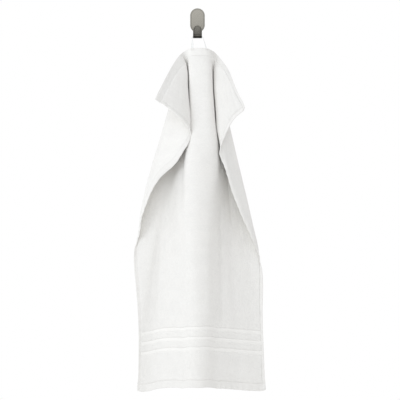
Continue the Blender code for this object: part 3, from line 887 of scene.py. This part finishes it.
class OBJECT_OT_bend_hook(bpy.types.Operator):
    """The hook, cut from one strip of sheet steel and bent into a J"""

    bl_idname = "object.bend_hook"
    bl_label = "Bend the hook"

    def execute(self, context):
        steel = context.scene.towel_hook
        plate = (HOOK_HIGH[0] - HOOK_LOW[0]) / 2
        top, lowest = HOOK_HIGH[2], HOOK_LOW[2]
        strap, bend = steel.strap / 2, TROUGH + steel.sheet
        bpy.ops.object.select_all(action="DESELECT")
        bpy.ops.mesh.primitive_circle_add(
            vertices=ROUND_SIDES, radius=plate, fill_type="NGON",
            location=(0, 0, top - plate), rotation=(math.pi / 2, 0, 0),
        )
        hook = context.object
        hook.name = hook.data.name = "steel_hook"
        bpy.ops.object.transform_apply(location=True, rotation=True, scale=True)
        mesh = hook.data
        bpy.ops.object.mode_set(mode="EDIT")
        # the plate's lower half is moved down, which draws the circle out into an oblong
        pick(mesh, "verts", lambda v: v.co.z < top - plate)
        low_middle = top - steel.plate
        bpy.ops.transform.translate(value=(0, 0, low_middle - (top - plate)))
        # its end is cut off where it is as wide as the strap, which grows from there
        cut, low = low_middle - math.sqrt(plate**2 - strap**2), lowest + bend
        bpy.ops.mesh.select_all(action="SELECT")
        bpy.ops.mesh.bisect(plane_co=(0, 0, cut), plane_no=(0, 0, 1), clear_inner=True)
        pick(mesh, "edges", level_at(cut))
        bpy.ops.mesh.extrude_region_move(TRANSFORM_OT_translate={"value": (0, 0, low - cut)})
        pick(mesh, "edges", level_at(cut))
        bpy.ops.mesh.dissolve_edges(use_verts=False)
        pick(mesh, "verts", lambda v: abs(v.co.z - cut) < TINY)
        bpy.ops.mesh.bevel(affect="VERTICES", offset=steel.fillet, segments=FILLET_STEPS)
        # the J is spun from the strap's end, and the tongue drawn out of it
        pick(mesh, "edges", level_at(low))
        bpy.ops.mesh.spin(
            steps=BEND_STEPS, angle=math.pi - steel.lean, center=(0, -bend, low), axis=(1, 0, 0)
        )
        end_y = -bend * (1 + math.cos(steel.lean))
        end_z = low - bend * math.sin(steel.lean)
        pick(mesh, "edges", lambda e: (middle_of(e) - Vector((0, end_y, end_z))).length < TINY)
        rise = lowest + steel.tongue - end_z
        bpy.ops.mesh.extrude_region_move(
            TRANSFORM_OT_translate={"value": (0, -rise * math.tan(steel.lean), rise)}
        )
        bpy.ops.transform.resize(value=(steel.taper, 1, 1))
        pick(mesh, "verts", lambda v: v.co.y < end_y - TINY and v.co.z > end_z + TINY)
        bpy.ops.mesh.bevel(
            affect="VERTICES", offset=strap * steel.taper * TIP_SHARE, segments=TONGUE_STEPS,
            clamp_overlap=True,
        )
        faces_outwards()
        # the strip so far is the steel's back, which lies on the wall
        largest = max(mesh.polygons, key=lambda face: face.area)
        sheet = hook.modifiers.new("sheet", "SOLIDIFY")
        sheet.thickness, sheet.use_even_offset = steel.sheet, True
        sheet.offset = 1 if largest.normal.y < 0 else -1
        edges = hook.modifiers.new("edges", "BEVEL")
        edges.width, edges.segments, edges.use_clamp_overlap = steel.edge, EDGE_STEPS, True
        edges.limit_method, edges.angle_limit = "ANGLE", BEVELLED
        for modifier in ("sheet", "edges"):
            bpy.ops.object.modifier_apply(modifier=modifier)
        bpy.ops.object.mode_set(mode="EDIT")
        faces_outwards()
        bpy.ops.object.shade_smooth_by_angle(angle=SMOOTHED)
        settle(hook, steel_material(steel), "steel", "wall_hook")
        return {"FINISHED"}


# Materials


def new_material(name):
    material = bpy.data.materials.new(name)
    material.use_nodes = True
    tree = material.node_tree
    return material, tree, tree.nodes["Principled BSDF"]


def feed(tree, made, inputs):
    """Gives a node's inputs numbers, or links them to other nodes' outputs."""
    for name, value in inputs.items():
        if isinstance(value, bpy.types.NodeSocket):
            tree.links.new(value, made.inputs[name])
        else:
            made.inputs[name].default_value = value


def node(tree, kind, inputs=None, **settings):
    made = tree.nodes.new("ShaderNode" + kind)
    for name, value in settings.items():
        setattr(made, name, value)
    feed(tree, made, inputs or {})
    return made


def maths(tree, operation, one, two=0.0):
    return node(tree, "Math", {0: one, 1: two}, operation=operation).outputs[0]


def vector_maths(tree, operation, one, other, name=1):
    return node(tree, "VectorMath", {0: one, name: other}, operation=operation).outputs[0]


def times(tree, first, *others):
    for other in others:
        first = maths(tree, "MULTIPLY", first, other)
    return first


def ramp(tree, value, low, high, from_low=0.0, from_high=1.0):
    inputs = {"Value": value, "From Min": from_low, "From Max": from_high, "To Min": low, "To Max": high}
    return node(tree, "MapRange", inputs).outputs[0]


def blend(tree, share, one, two):
    return node(tree, "Mix", {"Factor": share, "A": one, "B": two}).outputs["Result"]


def tint(tree, colour, shade):
    """The colour times a grey."""
    grey = node(tree, "CombineColor", {"Red": shade, "Green": shade, "Blue": shade}).outputs[0]
    inputs = {0: 1.0, 6: (*colour, 1.0), 7: grey}
    return node(tree, "Mix", inputs, data_type="RGBA", blend_type="MULTIPLY").outputs[2]


def cloud(tree, places, scale, detail, output="Fac"):
    """Soft noise, with so many clouds to a metre."""
    return node(tree, "TexNoise", {"Vector": places, "Scale": scale, "Detail": detail}).outputs[output]


def relief(tree, height, distance, strength):
    return node(tree, "Bump", {"Height": height, "Distance": distance, "Strength": strength}).outputs[0]


def wave(tree, place, pitch):
    return maths(tree, "SINE", maths(tree, "MULTIPLY", place, math.tau / pitch))


# The pile's loops stand in uneven rows about 1.7 mm apart: how many to a metre, how uneven, and how far
# they wander. Its relief adds up from loops, fluff and mottle. Flat weaves and the tape are finer.
LOOPS, LOOP_RANDOMNESS, LOOP_WANDER = 590.0, 0.75, 0.0016
LOOP_RELIEF, FLUFF_RELIEF, MOTTLE_RELIEF = 0.62, 0.25, 0.9
WEAVE_PITCH, WEAVE_RELIEF = 0.0011, 0.07
HERRINGBONE_PITCH, HERRINGBONE_RELIEF = 0.0009, 0.35


def terry_material(cloth):
    """White cotton: looped pile, and flat weave where the pile attribute is none."""
    material, tree, shader = new_material("white_terry")
    places = node(tree, "UVMap", uv_map="cloth").outputs[0]
    pile, tone = (node(tree, "Attribute", attribute_name=n).outputs["Fac"] for n in ("pile", "tone"))
    wander = cloud(tree, places, 260.0, 2.0, "Color")
    shift = vector_maths(tree, "SUBTRACT", wander, (0.5, 0.5, 0.5))
    shift = vector_maths(tree, "SCALE", shift, LOOP_WANDER, "Scale")
    moved = vector_maths(tree, "ADD", places, shift)
    loops = node(tree, "TexVoronoi", {"Vector": moved, "Scale": LOOPS, "Randomness": LOOP_RANDOMNESS})
    loops = ramp(tree, loops.outputs["Distance"], 1.0, 0.0, 0.0, 0.75)
    fluff = cloud(tree, places, 1500.0, 3.0)
    mottle = cloud(tree, places, 120.0, 3.0)
    terry = maths(tree, "ADD", times(tree, loops, LOOP_RELIEF), times(tree, fluff, FLUFF_RELIEF))
    terry = maths(tree, "ADD", terry, times(tree, mottle, MOTTLE_RELIEF))
    # threads pass over and under each other
    warp, weft, _ = node(tree, "SeparateXYZ", {0: places}).outputs
    warp, weft = wave(tree, warp, WEAVE_PITCH), wave(tree, weft, WEAVE_PITCH)
    flat = times(tree, warp, weft, WEAVE_RELIEF)
    slow = ramp(tree, cloud(tree, places, 28.0, 2.0), 0.985, 1.005, 0.35, 0.65)
    # painted shade between the loops: darker away from each loop's middle
    loop_shade = ramp(tree, loops, 0.94, 1.0)
    shade = times(tree, loop_shade, ramp(tree, mottle, 0.985, 1.01, 0.3, 0.7), slow)
    shade = times(tree, blend(tree, pile, slow, shade), tone)
    feed(tree, shader, {
        "Base Color": tint(tree, cloth.colour, shade),
        "Roughness": blend(tree, pile, 0.78, 0.96),
        "Normal": relief(tree, blend(tree, pile, flat, terry), 0.0011, 0.8),
        "Sheen Weight": 0.20,
        "Sheen Roughness": 0.55,
        "Specular IOR Level": 0.25,
    })
    return material


def tape_material(tape):
    """Cotton tape in a fine herringbone."""
    material, tree, shader = new_material("white_tape")
    places = node(tree, "UVMap", uv_map="cloth").outputs[0]
    side, along, _ = node(tree, "SeparateXYZ", {0: places}).outputs
    slant = maths(tree, "ADD", along, maths(tree, "PINGPONG", side, tape.width / 4))
    ribs = wave(tree, slant, HERRINGBONE_PITCH)
    grain = cloud(tree, places, 2400.0, 2.0)
    height = maths(tree, "ADD", times(tree, ribs, HERRINGBONE_RELIEF), grain)
    # painted shade in the herringbone's grooves
    shade = times(tree, ramp(tree, ribs, 0.93, 1.0, -1.0, 1.0), ramp(tree, grain, 0.97, 1.02))
    feed(tree, shader, {
        "Base Color": tint(tree, tape.colour, shade),
        "Roughness": ramp(tree, grain, 0.76, 0.90),
        "Normal": relief(tree, height, 0.00016, 0.8),
        "Sheen Weight": 0.10,
        "Specular IOR Level": 0.3,
    })
    return material


def thread_material(cloth):
    """Twisted polyester sewing thread, a little glossier than the cotton."""
    material, tree, shader = new_material("white_thread")
    twist = cloud(tree, node(tree, "TexCoord").outputs["Object"], 3200.0, 2.0)
    feed(tree, shader, {
        "Base Color": tint(tree, cloth.colour, ramp(tree, twist, 0.90, 0.99)),
        "Roughness": ramp(tree, twist, 0.50, 0.62),
        "Normal": relief(tree, twist, 0.0001, 0.6),
    })
    return material


# Painted shade and reflection on the steel: darker along the edges of the plate and of the tongue,
# and the tongue darker all over: shade there and further in, and between which distances in from the edge
# it changes (mm). Plate gives way to tongue between these distances from the wall (mm), and a painted dark
# reflection darkens the trough between these heights (mm).
PLATE_SHADE, PLATE_RIM = (0.77, 1.0), (3.8, 5.4)
TONGUE_SHADE, TONGUE_RIM = (0.48, 0.66), (2.4, 3.6)
TONGUE_FROM = (-12, -9)
TROUGH_SHADE, TROUGH_SHADE_LEVELS = 0.10, (-52.5, -49)


def rim_shade(tree, side, past, radius, shades, depths):
    """Painted shade of a round-ended face, towards its edge. past is how far a place lies beyond the middle
    of its round end.
    """
    squares = [maths(tree, "POWER", x, 2.0) for x in (side, maths(tree, "MAXIMUM", past, 0.0))]
    out = maths(tree, "SQRT", maths(tree, "ADD", *squares))
    return ramp(tree, out, shades[1], shades[0], radius - depths[1] * MM, radius - depths[0] * MM)


def steel_material(steel):
    """Satin steel, brushed up and down, with painted shade and reflection at its edges, on its tongue and
    in the trough.
    """
    material, tree, shader = new_material("satin_steel")
    places = node(tree, "TexCoord").outputs["Object"]
    brushed = node(tree, "Mapping", {"Vector": places, "Scale": (1.0, 1.0, 0.03)}).outputs[0]
    lines = cloud(tree, brushed, 5200.0, 4.0)
    clouds = cloud(tree, places, 130.0, 3.0)
    side, away, up = node(tree, "SeparateXYZ", {0: places}).outputs
    plate, tip = (HOOK_HIGH[0] - HOOK_LOW[0]) / 2, steel.taper * steel.strap / 2
    half = (steel.plate - plate) / 2
    # painted shade and reflection along the plate's rounded rim
    past = maths(tree, "ABSOLUTE", maths(tree, "SUBTRACT", up, HOOK_HIGH[2] - plate - half))
    past = maths(tree, "SUBTRACT", past, half)
    steel_shade = rim_shade(tree, side, past, plate, PLATE_SHADE, PLATE_RIM)
    # painted shade on the tongue, darker all over and more towards its edge
    past = maths(tree, "SUBTRACT", up, HOOK_LOW[2] + steel.tongue - tip)
    tongue = rim_shade(tree, side, past, tip, TONGUE_SHADE, TONGUE_RIM)
    steel_shade = blend(tree, ramp(tree, away, 0.0, 1.0, *(x * MM for x in TONGUE_FROM)), tongue, steel_shade)
    # painted dark reflection in the bottom of the J
    trough = ramp(tree, up, TROUGH_SHADE, 1.0, *(x * MM for x in TROUGH_SHADE_LEVELS))
    brush, patches = ramp(tree, lines, 0.97, 1.03, 0.3, 0.7), ramp(tree, clouds, 0.97, 1.03, 0.3, 0.7)
    rough = times(tree, ramp(tree, clouds, 0.92, 1.08, 0.3, 0.7), steel.roughness)
    feed(tree, shader, {
        "Base Color": tint(tree, steel.colour, times(tree, brush, patches, steel_shade, trough)),
        "Roughness": maths(tree, "ADD", rough, ramp(tree, lines, -0.04, 0.04, 0.3, 0.7)),
        "Normal": relief(tree, lines, 0.00002, 0.5),
        "Metallic": 1.0,
        "Anisotropic": 0.35,
    })
    return material


def floor_material(stage):
    """Pale matt floor."""
    material, tree, shader = new_material("pale_floor")
    places = node(tree, "TexCoord").outputs["Object"]
    patches, grain = cloud(tree, places, 3.0, 4.0), cloud(tree, places, 180.0, 3.0)
    shade = times(tree, ramp(tree, patches, 0.98, 1.02), ramp(tree, grain, 0.99, 1.01))
    feed(tree, shader, {
        "Base Color": tint(tree, stage.floor_colour, shade),
        "Roughness": 0.85,
        "Normal": relief(tree, grain, 0.0005, 0.3),
    })
    return material


# Stage

# Both lights are a little cool beside the warm cotton
AMBIENT_COLOUR = (0.987, 0.995, 1.012, 1)
LAMP_COLOUR = (0.91, 0.965, 1.03)
AMBIENT_SIDES = (1.03, 0.9)  # shares of the ambient light from the left and from the right
# What glossy steel sees instead: its brightness rises between these heights of the reflected direction,
# and rises again overhead
FLOOR_SEEN, FLOOR_HEIGHTS = (0.02, 0.62), (-0.55, -0.05)
SKY_SEEN, SKY_HEIGHTS = (1.0, 1.35), (0.0, 0.5)
LAMP_SIZE, LAMP_DISTANCE = 1.6, 3.8
# How far to the side and up from straight in front (degrees), share of the main lamp's power
LAMPS = {"key": (-52, 4, 1.0), "front": (-5, 28, 0.4)}
FLOOR_SIDES = 96


def studio_world(stage):
    """Light from all round, a little less from the right. Glossy steel also sees a darker floor."""
    world = bpy.data.worlds.new("studio")
    world.use_nodes = True
    tree = world.node_tree
    tree.nodes.clear()
    right, _, up = node(tree, "SeparateXYZ", {0: node(tree, "TexCoord").outputs["Generated"]}).outputs
    path = node(tree, "LightPath").outputs
    floor, sky = ramp(tree, up, *FLOOR_SEEN, *FLOOR_HEIGHTS), ramp(tree, up, *SKY_SEEN, *SKY_HEIGHTS)
    even = ramp(tree, right, *(stage.ambient * share for share in AMBIENT_SIDES), -1.0, 1.0)
    light = blend(tree, path["Is Glossy Ray"], even, times(tree, floor, sky))
    light = blend(tree, path["Is Camera Ray"], light, 1.0)
    inputs = {0: path["Is Camera Ray"], 6: AMBIENT_COLOUR, 7: (1, 1, 1, 1)}
    colour = node(tree, "Mix", inputs, data_type="RGBA").outputs[2]
    cast = node(tree, "Background", {"Color": colour, "Strength": light})
    node(tree, "OutputWorld", {"Surface": cast.outputs[0]})
    return world


def soft_light(name, side, up, power, target):
    """A round soft light that far to the side and up from straight in front (degrees)."""
    lamp = bpy.data.lights.new(name, "AREA")
    lamp.shape, lamp.size, lamp.energy, lamp.color = "DISK", LAMP_SIZE, power, LAMP_COLOUR
    light = bpy.data.objects.new(name, lamp)
    side, up = math.radians(side), math.radians(up)
    out = Vector((math.sin(side) * math.cos(up), -math.cos(side) * math.cos(up), math.sin(up)))
    light.location = Vector(target) + LAMP_DISTANCE * out
    light.rotation_euler = (-out).to_track_quat("-Z", "Y").to_euler()
    light.visible_camera = light.visible_glossy = False
    bpy.context.scene.collection.objects.link(light)


class OBJECT_OT_set_stage(bpy.types.Operator):
    """Pale floor, soft light and the camera straight in front"""

    bl_idname = "object.set_stage"
    bl_label = "Set the stage"

    def execute(self, context):
        scene, stage = context.scene, context.scene.towel_stage
        bpy.ops.object.select_all(action="DESELECT")
        bpy.ops.mesh.primitive_circle_add(
            vertices=FLOOR_SIDES, radius=stage.floor_size / 2, fill_type="NGON",
            location=(0, 0, stage.floor),
        )
        floor = context.object
        floor.name = floor.data.name = "pale_floor"
        bpy.ops.object.transform_apply(location=True, rotation=True, scale=True)
        floor.data.materials.append(floor_material(stage))
        scene.world = studio_world(stage)
        target = (0.0, 0.0, (CAD_BOX[0][2] + CAD_BOX[1][2]) / 2)
        for name, (side, up, share) in LAMPS.items():
            soft_light(name, side, up, stage.key * share, target)
        camera = bpy.data.objects.new("camera", bpy.data.cameras.new("camera"))
        camera.location = (stage.look_side, -stage.distance, stage.look_up)
        camera.rotation_euler = (math.pi / 2, 0, 0)
        camera.data.lens = camera.data.sensor_width * stage.distance / stage.field
        camera.data.clip_end = 4 * stage.distance
        scene.collection.objects.link(camera)
        scene.camera = camera
        scene.view_settings.view_transform = "Standard"
        return {"FINISHED"}


STEPS = (
    OBJECT_OT_bend_hook,
    OBJECT_OT_hang_tape,
    OBJECT_OT_stitch_hems,
    OBJECT_OT_tack_loop,
    OBJECT_OT_hang_towel,
    OBJECT_OT_set_stage,
)
SETTINGS = {
    "towel_cloth": ClothSettings,
    "towel_loop": LoopSettings,
    "towel_hook": HookSettings,
    "towel_stage": StageSettings,
}


class VIEW3D_PT_towel(bpy.types.Panel):
    """Each piece's button and its sizes"""

    bl_label = "Hanging hand towel"
    bl_space_type = "VIEW_3D"
    bl_region_type = "UI"
    bl_category = "Towel"

    def draw(self, context):
        for step in STEPS:
            self.layout.operator(step.bl_idname)
        for name, group in SETTINGS.items():
            box = self.layout.box()
            for prop in group.__annotations__:
                box.prop(getattr(context.scene, name), prop)


CLASSES = (*SETTINGS.values(), *STEPS, VIEW3D_PT_towel)


def register():
    for one in CLASSES:
        bpy.utils.register_class(one)
    for name, group in SETTINGS.items():
        setattr(bpy.types.Scene, name, PointerProperty(type=group))


def unregister():
    for name in SETTINGS:
        delattr(bpy.types.Scene, name)
    for one in reversed(CLASSES):
        bpy.utils.unregister_class(one)


def main():
    register()
    bpy.ops.object.bend_hook()
    bpy.ops.object.hang_tape()
    bpy.ops.object.stitch_hems()
    bpy.ops.object.tack_loop()
    bpy.ops.object.hang_towel()
    bpy.ops.object.set_stage()


if __name__ == "__main__":
    main()
